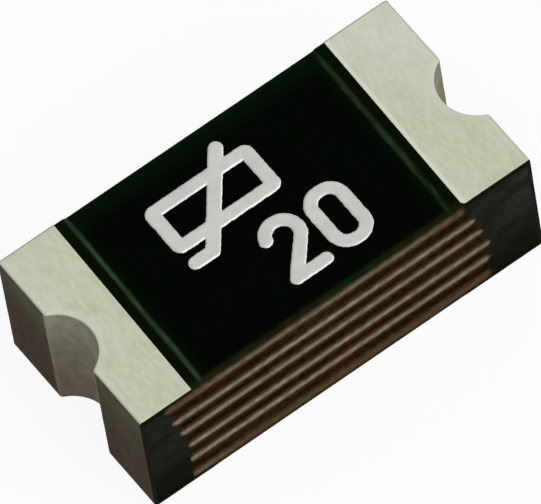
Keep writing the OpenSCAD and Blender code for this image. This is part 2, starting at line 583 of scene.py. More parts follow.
def chain(*runs):
    """One list from runs that each start where the last one stopped."""
    return runs[0] + [value for run in runs[1:] for value in run[1:]]


def turned(angle):
    """A unit vector in plan."""
    return Vector((math.cos(angle), math.sin(angle)))


# Finishes

STREAK_LEAN = math.radians(-3)


def off_notch(finish, settings):
    """How far a place lies from the wall of the notch at its end, in plan."""
    left = notch_axis(settings, -1)
    right = notch_axis(settings, 1)
    middle = 0.5 * (right.y + left.y)
    off_axis = finish.y - middle - finish.x.maths("SIGN", finish.x) * (right.y - middle)
    from_axis = finish.vector("LENGTH", finish.join(abs(finish.x) - right.x, off_axis, 0.0))
    return from_axis - settings.notch_radius / MM


def bled_corner(finish, settings):
    """1 outside the round that bled mask leaves of the right pad's front corner, 0 elsewhere."""
    bleed = settings.bleed / MM
    to_inner = (MASK_RIGHT + bleed - finish.along).most(0.0)
    to_front = (bleed - CHIP_SIDE - finish.y).most(0.0)
    to_corner = finish.vector("LENGTH", finish.join(to_inner, to_front, 0.0))
    return to_corner.rise(bleed - 0.002, bleed + 0.004) * finish.x.rise(0.0, 0.1)


def pad_tin(finish, settings, tone, from_notch):
    """The pads: streaks, grey clouds, painted highlights along their outer and inner edges, and a darker
    line along the back.
    """
    pad = tone.rise(0.36, 0.64).mix(settings.pad_dark, settings.pad_light)
    cloud = finish.grain(2.6, 2.0, shift=7.0).rise(0.5, 0.75) * 0.3
    paler = (finish.x + finish.y).rise(1.1, 2.1) * 0.8
    pad = cloud.most(paler).mix(pad, settings.pad_grey_and_highlight)
    pad = pad.shaded(tone, paler * 0.5)
    to_end = CHIP_END - abs(finish.x)
    # Painted highlight: the pads are lighter close to their outer edges, at the bends into the ends and
    # notches.
    highlighted = to_end.least(from_notch).rise(0.07, 0.02)
    pad = (highlighted * 0.55).mix(pad, settings.pad_grey_and_highlight)
    # Painted highlight along the pads' inner edges.
    off_rim = abs(finish.along - (MASK_RIGHT + 0.015)).least(abs(finish.along - MASK_LEFT) + 0.01)
    pad = off_rim.rise(0.024, 0.002).mix(pad, settings.pad_rim_highlight)
    # Darker along the pads' back edges.
    burr = finish.y.rise(CHIP_SIDE - 0.014, CHIP_SIDE - 0.005) * 0.7
    return burr.mix(pad, settings.burr)


def end_tin(finish, settings, from_notch):
    """The end faces and notch walls: the tin painted darker than on the pads, partly a duller finish and
    partly painted shade and a painted dark reflection; painted darker towards the bottom as shade, and
    redder there; the notch walls painted lighter than the end faces where they face the light.
    """
    patch = finish.grain(4.0, 4.0, (1.0, 1.0, 1.6), 9.0)
    uneven = (patch - 0.5) * 1.5
    # Painted shade: darker towards the bottom of the end faces.
    low = finish.z.rise(1.02, 0.72) * 0.8 + finish.z.rise(0.7, 0.2) * 0.2 + uneven
    face = low.mix(settings.shaded_end_face, settings.shaded_end_foot)
    # Painted shade: darker towards the foot of the notch walls.
    deep_shade = finish.z.rise(1.1, 0.1) + uneven
    wall = deep_shade.mix(settings.shaded_notch_wall, settings.shaded_notch_foot)
    mottle = finish.grain(13.0, 4.0, (1.0, 1.0, 1.4), 21.0)
    # The notch walls take the lighter colour, painted light where they face the front; the end faces take
    # the darker, painted shade.
    return from_notch.rise(0.03, 0.004).mix(face, wall).shaded(mottle, 0.75)


def tin_finish(settings):
    """Matt tin, streaked on the pads, with painted highlights along the pads' edges; dull and painted dark
    on the ends as shade; painted dark as shade where the saw cut through it, with a painted shadow under
    the pads.
    """
    finish = Finish("Matt tin")
    streak = finish.grain(38.0, 3.0, (1.0, 3.2, 1.0), turn=STREAK_LEAN)
    mottle = finish.grain(9.0, 5.0, (1.0, 1.6, 1.0), 4.0, STREAK_LEAN)
    fine = finish.grain(60.0, 4.0, (1.0, 4.0, 1.0), turn=STREAK_LEAN)
    from_notch = off_notch(finish, settings)
    on_corner = bled_corner(finish, settings)
    pad = pad_tin(finish, settings, streak * 0.5 + mottle * 0.5, from_notch)
    pad = on_corner.mix(pad, settings.bled)
    below_pad = finish.z.least(CHIP_TOP - finish.z)
    on_end = below_pad.rise(0.004, 0.02)
    skin = on_end.mix(pad, end_tin(finish, settings, from_notch))
    # Painted shade on the tin's sawn edges.
    sawn = abs(finish.y).rise(CHIP_SIDE - 0.006, CHIP_SIDE - 0.002)
    # Painted shadow under the pads' edges.
    under_pad_shadow = below_pad.rise(0.05, 0.02)
    shaded_cut_tone = under_pad_shadow.mix(settings.cut, settings.cut_shadow)
    return finish.close(
        Base_Color=(sawn * below_pad.rise(0.0, 0.003)).mix(skin, shaded_cut_tone),
        Metallic=0.5 * (1.0 - on_end.most(on_corner)),
        Roughness=0.6 + (mottle - 0.5) * 0.2,
        Specular_IOR_Level=0.01,
        Normal=finish.bump(fine, 0.0012),
    )


def mask_finish(settings):
    """Near-black green solder mask, with a painted highlight along its steps where it thins, a painted
    highlight along the front of its sawn sides, and greener towards the back.
    """
    finish = Finish("Solder mask")
    cloud = finish.grain(3.0, 4.0)
    depth = finish.vector("SCALE", linear(settings.body)[:3], scale=1.0 - cloud * 0.36)
    ramp = settings.ramp / MM
    wander = (finish.grain(3.0, 2.0, (0.4, 1.0, 1.0), 8.0) - 0.5) * 0.02
    past_left = finish.along + wander - (LIP_LEFT + 0.7 * ramp)
    past_right = (LIP_RIGHT - 0.7 * ramp) - finish.along - wander
    past_step = past_left.least(past_right)
    # Painted highlight along the steps, broken up and stronger on the left of the chip.
    broken_highlight = finish.grain(9.0, 3.0, (0.4, 1.8, 1.0)).rise(0.34, 0.62)
    strength = finish.x.rise(0.5, -0.5) * 0.4 + 0.27 + 0.42 * broken_highlight
    line = abs(past_step).rise(0.031, 0.0) * strength
    tinted = (past_step.rise(0.13, 0.0) * 0.8).mix(depth, settings.shade)
    flat = past_step.rise(0.01, -0.01).mix(tinted, settings.band)
    stepped = line.mix(flat, settings.shoulder)
    to_side = CHIP_SIDE - abs(finish.y)
    ragged = finish.grain(13.0, 3.0, (1.5, 1.0, 1.0), 2.0).rise(0.38, 0.62) * 0.4 + 0.6
    in_front = finish.y.rise(0.1, -0.1)
    hazy = to_side.rise(0.24, -0.02) * (1.0 - in_front)
    stepped = (hazy * (1.0 - line)).mix(stepped, settings.haze)
    # Painted highlight where the mask droops over the sawn sides, strong at the front and faint at the
    # back.
    front_edge_highlight = to_side.rise(0.062, 0.01) * ragged * (in_front * 0.9 + 0.1)
    greener = finish.grain(2.4, 2.0, shift=5.0).rise(0.48, 0.62) * 0.8
    thin = greener.mix(settings.edge, settings.green_edge_highlight)
    top_edge = front_edge_highlight.mix(stepped, thin)
    below = finish.z.rise(0.1, 0.08) * to_side.rise(0.006, 0.0)
    return finish.close(
        Base_Color=below.mix(top_edge, settings.low_edge),
        Roughness=0.42 + (cloud - 0.5) * 0.12,
        Specular_IOR_Level=0.005,
        Normal=finish.bump(finish.grain(40.0, 2.0), 0.0006),
    )


DRIFTING_FOILS = 3


class Sawn(Finish):
    """A finish of the sawn sides, which knows where the foils lie.

    from_foil is the distance from the nearest foil's middle, count the number of foils above a
    place, and past_end how far it lies beyond the foils' ends, below 0 between them.
    """

    def __init__(self, name, settings):
        super().__init__(name)
        heights = [0.5 * (low.z + high.z) for low, high in FOILS.values()]
        sheet = heights[0] - heights[1]
        element = heights[0] - heights[2]
        turns = (heights[0] - self.z) / element
        part = turns.maths("FRACT", turns) * element
        self.from_foil = part.least(element - part).least(abs(part - sheet))
        self.count = turns * 2.0
        drifted = self.count.least(DRIFTING_FOILS).most(0.0) * (settings.drift / MM)
        pulled_back = self.count.rise(3.4, 3.8) * (settings.pull_back / MM)
        half_length = 0.5 * settings.foil_length / MM
        first = FOILS[FOIL_NODES[0]][1].x - half_length
        self.past_end = abs(self.x - drifted + pulled_back - first) - half_length
        self.scratch = self.grain(26.0, 4.0, (14.0, 1.0, 1.0), 3.0)
        self.cloud = self.grain(9.0, 5.0, (1.3, 1.0, 1.0), 6.0)
        self.grit = self.grain(24.0, 3.0, (1.3, 1.0, 1.0), 18.0)
        self.beyond = (self.past_end + (self.cloud - 0.5) * 0.05).rise(-0.06, -0.005)

    def block(self, settings):
        """The plain dark resin beyond the foils, with a painted shadow in a band under the pads, at the
        top and the bottom.
        """
        foot = self.z.rise(0.6, 0.05)
        plain = foot.mix(settings.resin, settings.foot)
        patchy = (self.cloud - 0.5) * 0.5
        pale = (self.x + patchy).rise(1.25, 1.5) * (self.z + patchy).rise(0.42, 0.7)
        plain = pale.mix(plain, settings.pale_resin)
        plain = (self.cloud.rise(0.42, 0.66) * 0.65).mix(plain, settings.foot)
        # Painted shadow in a band under the pads, at the top and the bottom of the sawn sides.
        under_pad_shadow = self.z.least(CHIP_TOP - self.z).rise(0.075, 0.035)
        return (under_pad_shadow * 0.9).mix(plain, settings.under_pad_shadow)


def foil_finish(settings):
    """Sawn foil edges, dull brown-grey, dimmer on the outermost foils and at their ends."""
    finish = Sawn("Electrode foil", settings)
    tone = finish.grain(1.6, 3.0, (3.0, 1.0, 0.4), 2.0)
    inner = tone.rise(0.4, 0.6).mix(settings.foil, settings.foil_warm)
    patchy = (tone - 0.5) * 0.9
    near_end = (finish.past_end + patchy).rise(-0.55, -0.05)
    top = near_end.mix(settings.top_foil, settings.top_foil_end)
    far_left = (finish.x + patchy).rise(-0.6, -1.1)
    bottom = far_left.mix(settings.low_foil, settings.low_foil_end)
    uppermost = finish.count.rise(0.6, 0.4)
    upper = uppermost.mix(inner, top)
    metal = finish.count.rise(4.4, 4.6).mix(upper, bottom)
    nick = finish.grain(7.0, 2.0, (1.0, 1.0, 0.6), 5.0).rise(0.68, 0.74)
    worn = finish.grain(22.0, 3.0, (2.0, 1.0, 1.0), 11.0).rise(0.5, 0.72)
    faded = finish.from_foil.rise(0.008, 0.036).most(nick * 0.6).most(worn * 0.25)
    edge = faded.mix(metal, settings.smear)
    early = finish.x.rise(0.0, 0.1) * (uppermost * 0.02 + 0.01)
    rounded = finish.past_end + finish.from_foil * 0.5 + early
    end = (rounded + (finish.scratch - 0.5) * 0.02).rise(-0.026, 0.018)
    return finish.close(
        Base_Color=end.mix(edge, finish.block(settings)).shaded(finish.grit, 1.5),
        Metallic=0.3 * finish.past_end.rise(-0.04, -0.14),
        Roughness=0.55 + (finish.scratch - 0.5) * 0.3,
        Specular_IOR_Level=0.005,
        Normal=finish.bump(finish.scratch, 0.002),
    )


def sheet_finish(name, settings, shade):
    """Sawn resin or polymer: smeared beside the foils, plain dark beyond them."""
    finish = Sawn(name, settings)
    blotch = finish.grain(3.0, 4.0, (2.0, 1.0, 1.0), 12.0)
    dark = blotch.rise(0.46, 0.3).mix(settings.dark, settings.dark_red)
    dark = blotch.rise(0.54, 0.7).mix(dark, settings.dark_green)
    fleck = finish.grain(18.0, 3.0, (1.8, 1.0, 1.0), 15.0)
    dark = (fleck.rise(0.52, 0.7) * 0.7).mix(dark, settings.dark_red)
    dark = finish.vector("SCALE", dark, scale=shade)
    away = (finish.from_foil + (finish.scratch - 0.5) * 0.03).rise(0.034, 0.072)
    between = away.mix(settings.smear, dark)
    skin = finish.beyond.mix(between, finish.block(settings))
    return finish.close(
        Base_Color=skin.shaded(finish.grit, 2.2 - 1.7 * finish.beyond),
        Roughness=0.75 + (finish.cloud - 0.5) * 0.2,
        Specular_IOR_Level=0.003,
        Normal=finish.bump(finish.scratch * (1.0 - finish.beyond) + finish.cloud * 0.5, 0.003),
    )


def copper_finish(settings):
    """Plated copper, painted dark as shade where the saw cut through it, with a painted shadow under the
    pads.
    """
    finish = Finish("Plated copper")
    tone = finish.grain(12.0, 4.0)
    dull = tuple(0.6 * part for part in settings.copper)
    copper = tone.mix(settings.copper, dull)
    # Painted shade on the copper's sawn edges.
    cut = abs(finish.y).rise(CHIP_SIDE - 0.004, CHIP_SIDE - 0.001)
    # Painted shadow under the pads.
    under_pad_shadow = finish.z.least(CHIP_TOP - finish.z).rise(0.05, 0.03)
    shaded_cut_tone = under_pad_shadow.mix(settings.foot, settings.under_pad_shadow)
    return finish.close(
        Base_Color=cut.mix(copper, shaded_cut_tone),
        Metallic=0.8 - cut * 0.8,
        Roughness=0.5 + (tone - 0.5) * 0.3,
        Specular_IOR_Level=0.01,
    )


# The way that the ink's painted highlight faces.
INK_HIGHLIGHT_FACING = (0.35, -0.94, 0.0)


def ink_finish(settings):
    """White ink with a faint mottle, a painted highlight on the edges that face the front and painted
    shade on the edges that face the back.
    """
    finish = Finish("White ink")
    cloud = finish.grain(9.0, 4.0)
    fine = finish.grain(50.0, 3.0)
    thin = tuple(0.96 * part for part in settings.ink)
    flat = cloud.rise(0.35, 0.7).mix(settings.ink, thin)
    # Painted highlight and shade: ink edges lighter where their normals face the front, darker where they
    # face the back.
    normal = finish.add("ShaderNodeNewGeometry", output="Normal")
    to_front = finish.vector("DOT_PRODUCT", normal, INK_HIGHLIGHT_FACING)
    patchy = finish.grain(6.0, 2.0, shift=3.0).rise(0.35, 0.6) * 0.6 + 0.4
    lit = (to_front.rise(0.2, 0.55) * patchy).mix(flat, settings.painted_highlight_edge)
    return finish.close(
        Base_Color=to_front.rise(-0.2, -0.6).mix(lit, settings.painted_shade_edge),
        Roughness=0.24 + (fine - 0.5) * 0.1,
        Specular_IOR_Level=0.6,
        Normal=finish.bump(fine, 0.0006),
    )


# Terminals: steps along and across a wrap, and features a millimetre of its relief

END_STEPS = 26
CORNER_STEPS = 8
NOTCH_STEPS = 44
PAD_STEPS = 14
BEND_STEPS = 5
WALL_STEPS = 30
PLATING_SCALE = 7.0


def notch_axis(settings, end):
    """Where the axis of a notch stands in plan, at the left end (-1) or the right end (1)."""
    x = CHIP_END + (settings.notch_radius - settings.notch_depth) / MM
    return Vector((end * x, settings.notch_offset / MM - end * x * math.sin(math.atan(SLANT))))


def end_stations(settings, end):
    """A notched end in plan, from front to back: points, outward directions and share of notch.

    It is given as a left end; the right one is its mirror image.
    """
    radius = settings.notch_radius / MM
    corner = (settings.left_corner if end < 0 else settings.right_corner) / MM
    middle = notch_axis(settings, end).y
    axis = Vector((notch_axis(settings, -1).x, middle))
    along = corner - CHIP_END - axis.x
    across = math.sqrt((radius + corner) ** 2 - along ** 2)
    swing = math.atan2(across, along)
    front_hub = Vector((-CHIP_END + corner, middle - across))
    back_hub = Vector((-CHIP_END + corner, middle + across))
    stations = []

    def add(hub, reach, angle, in_notch):
        stations.append((hub + reach * turned(angle), turned(angle), in_notch))

    for y in spread(-CHIP_SIDE, front_hub.y, END_STEPS)[:-1]:
        add(Vector((front_hub.x, y)), corner, math.pi, 0.0)
    for done in spread(0.0, 1.0, CORNER_STEPS)[:-1]:
        add(front_hub, corner, math.pi - swing * done, done)
    for angle in spread(-swing, swing, NOTCH_STEPS):
        add(axis, -radius, angle + math.pi, 1.0)
    for done in spread(1.0, 0.0, CORNER_STEPS)[1:]:
        add(back_hub, corner, math.pi + swing * done, done)
    for y in spread(back_hub.y, CHIP_SIDE, END_STEPS)[1:]:
        add(Vector((back_hub.x, y)), corner, math.pi, 0.0)
    return stations


def wrap_row(settings, station, depth, edge, slant):
    """One line of the wrap, depth below its surface: top pad, bend, end wall, bend and bottom pad."""
    point, out, in_notch = station
    inner_x = edge + slant * point.y
    bend = (settings.bend + (settings.rim - settings.bend) * in_notch) / MM
    hub = point - out * bend
    skin = out * (bend - depth)
    upper = []
    for step in range(PAD_STEPS):
        done = step / PAD_STEPS
        x = inner_x + (hub.x - inner_x) * done
        y = point.y + (hub.y - point.y) * done
        upper.append((x, y, CHIP_TOP - depth))
    for step in range(BEND_STEPS + 1):
        angle = 0.5 * math.pi * step / BEND_STEPS
        flat = hub + skin * math.sin(angle)
        z = CHIP_TOP - bend + (bend - depth) * math.cos(angle)
        upper.append((flat.x, flat.y, z))
    flat = hub + skin
    wall = [(flat.x, flat.y, z) for z in spread(CHIP_TOP - bend, bend, WALL_STEPS)[1:-1]]
    lower = [(x, y, CHIP_TOP - z) for x, y, z in reversed(upper)]
    return upper + wall + lower


def relief_recipe():
    """Moves the outer points of a shell in and out, for plating or sawn edges that aren't quite even."""
    recipe = Recipe("Relief", "Height", "Scale")
    amount = recipe.grain(recipe.place(), recipe.given("Scale"), recipe.given("Seed"))
    normal = recipe.add("GeometryNodeInputNormal")
    offset = recipe.vector("SCALE", normal, scale=amount * recipe.given("Height") * recipe.outer())
    return recipe.close(recipe.move(recipe.given("Geometry"), offset))


def build_terminals(settings):
    """Both tin wraps, each a thin wall round its notched end."""
    material = tin_finish(settings)
    group = relief_recipe()
    for side, name, edge in (
        (1, "left_tin_finish", MASK_LEFT),
        (-1, "right_tin_finish", -MASK_RIGHT),
    ):
        stations = end_stations(settings, -side)
        grids = []
        for depth in (0.0, TIN_T):
            rows = [wrap_row(settings, station, depth, edge, side * SLANT) for station in stations]
            grids.append([[(side * x, y, z) for x, y, z in row] for row in rows])
        obj = closed_shell(name.replace("finish", "wrap"), *grids)
        height = settings.relief / MM
        apply_recipe(obj, group, Height=height, Scale=PLATING_SCALE, Seed=2 + side, Material=material)
        add_bevel(obj, settings.edge / MM)
        bake_piece(obj, "tin", name)


# Solder mask: steps across it, how far past a copper lip its seat is down, and its slow waves

LIP_STEPS = 10
RAMP_STEPS = 7
FLAT_STEPS = 60
DROOP_STEPS = 8
WIDTH_STEPS = 48
SEAT_STEP = 0.002
WAVE_SCALE = 2.2
WAVE_SEED = 3


def mask_recipe():
    """Shapes the mask's outer grid: flat, up over the copper lips, down at the sawn sides."""
    recipe = Recipe("Mask coat", "Flat", "Lip", "Ramp", "Droop", "Droop_Width", "Waviness")
    place = recipe.place()
    x, y, z = recipe.split(place)
    along = x - y * SLANT
    past_lip = (along - LIP_LEFT).least(LIP_RIGHT - along)
    on_lip = 1.0 - (past_lip / recipe.given("Ramp")).rise(0.0, 1.0)
    to_side = (CHIP_SIDE - abs(y)) / recipe.given("Droop_Width")
    fall = (1.0 - to_side).most(0.0)
    slow = recipe.grain(place, WAVE_SCALE, recipe.given("Seed"))
    height = recipe.given("Flat") + (recipe.given("Lip") - recipe.given("Flat")) * on_lip
    height = height - recipe.given("Droop") * fall * fall + slow * recipe.given("Waviness")
    offset = recipe.join(0.0, 0.0, (height - z) * recipe.outer())
    return recipe.close(recipe.move(recipe.given("Geometry"), offset))


def turn_over(mesh):
    """Mirrors a finished mesh from the chip's top face to its bottom face."""
    for vertex in mesh.vertices:
        vertex.co.z = CHIP_TOP * MM - vertex.co.z
    mesh.flip_normals()


def build_masks(settings):
    """The solder mask on both faces of the chip."""
    material = mask_finish(settings)
    group = mask_recipe()
    ramp = settings.ramp / MM
    drop = settings.droop_width / MM
    xs = chain(
        spread(MASK_LEFT, LIP_LEFT, LIP_STEPS),
        spread(LIP_LEFT, LIP_LEFT + SEAT_STEP, 1),
        spread(LIP_LEFT + SEAT_STEP, LIP_LEFT + ramp, RAMP_STEPS),
        spread(LIP_LEFT + ramp, LIP_RIGHT - ramp, FLAT_STEPS),
        spread(LIP_RIGHT - ramp, LIP_RIGHT - SEAT_STEP, RAMP_STEPS),
        spread(LIP_RIGHT - SEAT_STEP, LIP_RIGHT, 1),
        spread(LIP_RIGHT, MASK_RIGHT, LIP_STEPS),
    )
    ys = chain(
        spread(-CHIP_SIDE, drop - CHIP_SIDE, DROOP_STEPS),
        spread(drop - CHIP_SIDE, CHIP_SIDE - drop, WIDTH_STEPS),
        spread(CHIP_SIDE - drop, CHIP_SIDE, DROOP_STEPS),
    )
    for name, thickness, droop in (
        ("top_solder_mask", settings.thickness, settings.droop),
        ("bottom_solder_mask", settings.low_thickness, settings.low_droop),
    ):
        flat = CORE_TOP + thickness / MM
        outer = [[(x + SLANT * y, y, TOP_MASK[1].z) for y in ys] for x in xs]
        seats = [LIP_TOP if x <= LIP_LEFT or x >= LIP_RIGHT else CORE_TOP for x in xs]
        inner = [[(x + SLANT * y, y, seat) for y in ys] for x, seat in zip(xs, seats)]
        obj = closed_shell(name.replace("mask", "coat"), outer, inner)
        apply_recipe(
            obj,
            group,
            Flat=flat,
            Lip=TOP_MASK[1].z,
            Ramp=ramp,
            Droop=droop / MM,
            Droop_Width=drop,
            Waviness=settings.waviness / MM,
            Seed=WAVE_SEED,
            Material=material,
        )
        bake_piece(obj, "solder_mask", name)
        if name.startswith("bottom"):
            turn_over(obj.data)


# Foils and sheets: steps along and round a foil, what its edges are like, and the resin's shade

SIDE_STEPS = 124
DRILL_STEPS = 24
EDGE_RINGS = 6
EDGE_TAPER = 0.06
SAW_MARK_SCALE = 9.0
TOUCH = 0.001
RESIN_SHADE = 0.85


def notch_drill():
    """Radius of the notch in the laminate, and how far its axis lies beyond the chip's end."""
    terminal = bpy.context.scene.fuse_terminals
    radius = terminal.notch_radius / MM
    return radius + PLATE_T, radius - terminal.notch_depth / MM


def foil_outline(settings, low, high):
    """A foil's outline and how far each point lies from its ends if it is on a sawn side, else 0."""
    left_neck = low.x <= CORE[0].x + TOUCH
    side = -1 if left_neck else 1
    middle = notch_axis(bpy.context.scene.fuse_terminals, side).y
    length_mm = settings.foil_length / MM
    start = high.x - length_mm if left_neck else low.x
    stop = start + length_mm
    half_neck = 0.5 * settings.neck / MM
    radius, beyond = notch_drill()
    axis = CHIP_END + beyond
    end = CORE[1].x
    mouth = math.sqrt(radius ** 2 - (axis - end) ** 2)
    swing = math.atan2(mouth, axis - end)
    points = []
    sawn = []
    for x in spread(start, stop, SIDE_STEPS):
        points.append((x, -CHIP_SIDE))
        sawn.append(min(x - start, stop - x))
    root = stop if side > 0 else start
    neck = [(root, middle - half_neck), (side * end, middle - half_neck)]
    for angle in spread(-swing, swing, DRILL_STEPS):
        x = side * (axis - radius * math.cos(angle))
        neck.append((x, middle + radius * math.sin(angle)))
    neck += [(side * end, middle + half_neck), (root, middle + half_neck)]
    if side > 0:
        points += neck
        sawn += [0.0] * len(neck)
    for x in spread(stop, start, SIDE_STEPS):
        points.append((x, CHIP_SIDE))
        sawn.append(min(x - start, stop - x))
    if side < 0:
        points += reversed(neck)
        sawn += [0.0] * len(neck)
    return points, sawn


def build_foils(settings):
    """The six electrode foils, with rounded edges that stand a little proud of the sawn sides."""
    material = foil_finish(settings)
    group = relief_recipe()
    proud = settings.proud / MM
    for index, (node, (low, high)) in enumerate(FOILS.items()):
        outline, sawn = foil_outline(settings, low, high)
        count = len(outline)
        middle = 0.5 * (low.z + high.z)
        half = 0.5 * (high.z - low.z)
        points = []
        flags = []
        for ring in range(EDGE_RINGS + 1):
            lean = math.pi * (ring / EDGE_RINGS - 0.5)
            for (x, y), reach in zip(outline, sawn):
                out = proud * math.cos(lean) * min(1.0, reach / EDGE_TAPER) ** 0.5
                points.append((x, y + math.copysign(out, y), middle + half * math.sin(lean)))
                flags.append(math.cos(lean) if reach > 0 else 0.0)
        faces = []
        for ring in range(EDGE_RINGS):
            for first in range(count):
                second = (first + 1) % count
                base = ring * count
                faces.append((base + first, base + second, base + count + second, base + count + first))
        faces.append(tuple(reversed(range(count))))
        faces.append(tuple(EDGE_RINGS * count + first for first in range(count)))
        obj = new_shell(node.replace("foil", "electrode"), points, faces, flags)
        height = settings.burr / MM
        apply_recipe(obj, group, Height=height, Scale=SAW_MARK_SCALE, Seed=index, Material=material)
        bake_piece(obj, "electrode_foil", node)


def finish_sheets(settings):
    """Finishes on the CAD sheets and copper wraps, which stay as they are."""
    polymer = sheet_finish("Sawn polymer", settings, 1.0)
    resin = sheet_finish("Sawn resin", settings, RESIN_SHADE)
    copper = copper_finish(settings)
    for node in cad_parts:
        if node.endswith("ptc_sheet"):
            paint_node(node, polymer)
        elif node.endswith("bond_sheet") or node.endswith("cover_sheet"):
            paint_node(node, resin)
        elif node.endswith("copper_wrap"):
            paint_node(node, copper)


# Print: places of the marks on the mask and details of the film, in millimetres

SIGN_BOX = (-0.59, 0.18, 0.13, 0.46)
SIGN_CORNER = 0.02
SIGN_SLANT = [(-0.58, -0.03), (-0.44, -0.03), (0.04, 0.6)]
DIGIT_ROW = (-0.55, -0.105)
TWO_SPAN = (-0.13, 0.11)
NOUGHT_SPAN = (0.25, 0.49)
NOUGHT_STRAIGHT = 0.01
TWO_ARC = (math.radians(165), math.radians(-35))
ARC_STEPS = 24
SUNK = 0.001
RIM_WALL = 0.0005
MERGE = 0.0001
RAGGED_SCALE = 22.0


def ink_recipe():
    """A film of ink round a line: squares near the line, rounded down to the mask at its edge."""
    recipe = Recipe("Ink film", "Half_Width", "Film", "Shoulder", "Cell", "Ragged")
    line = recipe.given("Geometry")
    half = recipe.given("Half_Width")
    cell = recipe.given("Cell")
    limits = recipe.add("GeometryNodeBoundBox", None, {"Geometry": line}, "Min")
    low_x, low_y, _ = recipe.split(limits)
    high_x, high_y, _ = recipe.split(limits.also("Max"))
    margin = 2.0 * half + 8.0 * cell
    size_x = high_x - low_x + margin
    size_y = high_y - low_y + margin
    sheet = recipe.add(
        "GeometryNodeMeshGrid",
        None,
        {"Size X": size_x, "Size Y": size_y, "Vertices X": size_x / cell, "Vertices Y": size_y / cell},
        "Mesh",
    )
    centre = recipe.join((low_x + high_x) * 0.5, (low_y + high_y) * 0.5, 0.0)
    sheet = recipe.move(sheet, centre)

    def nearest():
        """Distance from the line, unevenly, and the nearest point on it."""
        place = recipe.place()
        near = recipe.add(
            "GeometryNodeProximity", {"target_element": "EDGES"}, {0: line, "Sample Position": place}, 1
        )
        wander = recipe.grain(place, RAGGED_SCALE, recipe.given("Seed"))
        return near + wander * recipe.given("Ragged") * 0.5, near.also(0)

    far, _ = nearest()
    film = recipe.add(
        "GeometryNodeDeleteGeometry",
        {"domain": "FACE"},
        {"Geometry": sheet, "Selection": far.over(half)},
    )
    sides = recipe.add("GeometryNodeInputMeshEdgeNeighbors")
    border = recipe.add(
        "GeometryNodeFieldOnDomain", {"domain": "EDGE", "data_type": "FLOAT"}, {0: 1.5 - sides}
    )
    rim = border.over(0.0)
    far, foot = nearest()
    away = recipe.vector("SUBTRACT", recipe.place(), foot)
    snap = recipe.vector("SCALE", away, scale=half / far - 1.0)
    film = recipe.move(film, snap, rim)
    far, _ = nearest()
    inside = ((half - far) / recipe.given("Shoulder")).least(1.0).most(0.0)
    bulge = (1.0 - (1.0 - inside) * (1.0 - inside)) ** 0.5
    wall = recipe.add(
        "GeometryNodeExtrudeMesh",
        {"mode": "FACES"},
        {"Mesh": film, "Offset": (0.0, 0.0, 1.0), "Offset Scale": RIM_WALL, "Individual": False},
    )
    rounding = recipe.join(0.0, 0.0, bulge * recipe.given("Film"))
    crown = recipe.move(wall, rounding, wall.also("Top"))
    base = recipe.add("GeometryNodeFlipFaces", None, {"Mesh": film})
    both = recipe.add("GeometryNodeJoinGeometry", None, {"Geometry": [crown, base]})
    whole = recipe.add("GeometryNodeMergeByDistance", None, {"Geometry": both, "Distance": MERGE})
    return recipe.close(whole)


def rounded_box(x0, x1, y0, y1, radius):
    """A closed outline with round corners."""
    left, right = x0 + radius, x1 - radius
    low, high = y0 + radius, y1 - radius
    points = []
    for quarter, (x, y) in enumerate(((right, high), (left, high), (left, low), (right, low))):
        for angle in spread(0.0, 0.5 * math.pi, CORNER_STEPS):
            way = turned(angle + quarter * 0.5 * math.pi)
            points.append((x + radius * way.x, y + radius * way.y))
    return points + points[:1]


def symbol_lines():
    """The plain circuit sign of a resistor that rises with heat: a box, and a slanted line with a foot."""
    return [rounded_box(*SIGN_BOX, SIGN_CORNER), SIGN_SLANT]


def two_lines(x0, x1, y0, y1):
    """The digit two as one line."""
    radius = 0.5 * (x1 - x0)
    centre = Vector((x0 + radius, y1 - radius))
    arc = [centre + radius * turned(angle) for angle in spread(*TWO_ARC, ARC_STEPS)]
    return [[tuple(point) for point in arc] + [(x0, y0), (x1, y0)]]


def nought_lines(x0, x1, y0, y1):
    """The digit nought as one line."""
    return [rounded_box(x0, x1, y0, y1, 0.5 * (x1 - x0) - NOUGHT_STRAIGHT)]


def build_print(settings):
    """The white print on the mask: a circuit sign and a plain two-digit number."""
    material = ink_finish(settings)
    group = ink_recipe()
    ground = CORE_TOP + bpy.context.scene.fuse_mask.thickness / MM - SUNK
    marks = (
        ("print_symbol", symbol_lines(), settings.symbol_stroke),
        ("print_digit_two", two_lines(*TWO_SPAN, *DIGIT_ROW), settings.digit_stroke),
        ("print_digit_nought", nought_lines(*NOUGHT_SPAN, *DIGIT_ROW), settings.digit_stroke),
    )
    for name, lines, stroke in marks:
        points = [(x, y, 0.0) for line in lines for x, y in line]
        edges = []
        first = 0
        for line in lines:
            edges += [(first + index, first + index + 1) for index in range(len(line) - 1)]
            first += len(line)
        obj = new_object(name, points, edges, [])
        apply_recipe(
            obj,
            group,
            Half_Width=0.5 * stroke / MM,
            Film=settings.film / MM,
            Shoulder=settings.shoulder / MM,
            Cell=settings.cell / MM,
            Ragged=settings.ragged / MM,
            Seed=settings.seed,
            Material=material,
        )
        bake_piece(obj, "marking_ink")
        obj.data.transform(Matrix.Translation((0.0, 0.0, ground * MM)))


# Stage: places of the camera and the softboxes, and the floor's half width, in metres

CAMERA_AZIMUTH = math.radians(-27.4)
CAMERA_ELEVATION = math.radians(58.74)
CAMERA_ROLL = math.radians(-10.285)
CAMERA_DISTANCE = 128.386 * MM
CAMERA_LENS = 1291.2
CAMERA_TARGET = Vector((-0.003, 0.0051, 0.5418)) * MM
KEY_SOFTBOX = {"direction": (0.3, -0.62, 0.72), "distance": 0.3, "size": 0.22}
OVERHEAD_SOFTBOX = {"direction": (-0.1, -0.2, 0.97), "distance": 0.35, "size": 0.2}
FLOOR_HALF = 2.0


